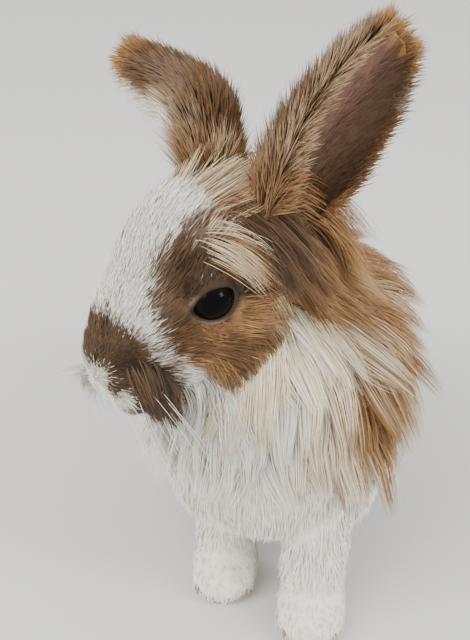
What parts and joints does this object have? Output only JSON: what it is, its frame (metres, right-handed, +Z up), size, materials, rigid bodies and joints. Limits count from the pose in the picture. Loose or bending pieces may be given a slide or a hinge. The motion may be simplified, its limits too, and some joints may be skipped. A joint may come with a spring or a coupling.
{
  "type": "lionhead rabbit",
  "caption": "Life-size still model of a lionhead rabbit sitting up on its forelegs, head turned aside, ears raised, with a long mane round the neck.",
  "frame": {"origin": "on the floor under the middle of the whole rabbit, ears, mane and tail counted", "axes": "+Z up, -Y the way the body faces, +X the animal's left side"},
  "size_m": [0.1428, 0.263, 0.2462],
  "materials": {
    "head": "short dense fur",
    "neck": "long soft mane",
    "torso": "dense fur",
    "tail": "fluffy fur",
    "ear_left": "short fur",
    "ear_right": "short fur",
    "eye_left": "wet gloss",
    "eye_right": "wet gloss",
    "foreleg_left": "short white fur",
    "foreleg_right": "short white fur",
    "forepaw_left": "short white fur",
    "forepaw_right": "short white fur",
    "thigh_left": "short white fur",
    "thigh_right": "short white fur",
    "hindfoot_left": "short white fur",
    "hindfoot_right": "short white fur"
  },
  "bodies": {
    "root": {"head": "head", "neck": "neck", "torso": "torso", "tail": "tail", "ear_left": "ear_left", "ear_right": "ear_right", "eye_left": "eye_left", "eye_right": "eye_right", "foreleg_left": "foreleg_left", "foreleg_right": "foreleg_right", "forepaw_left": "forepaw_left", "forepaw_right": "forepaw_right", "thigh_left": "thigh_left", "thigh_right": "thigh_right", "hindfoot_left": "hindfoot_left", "hindfoot_right": "hindfoot_right"}
  },
  "joints": []
}
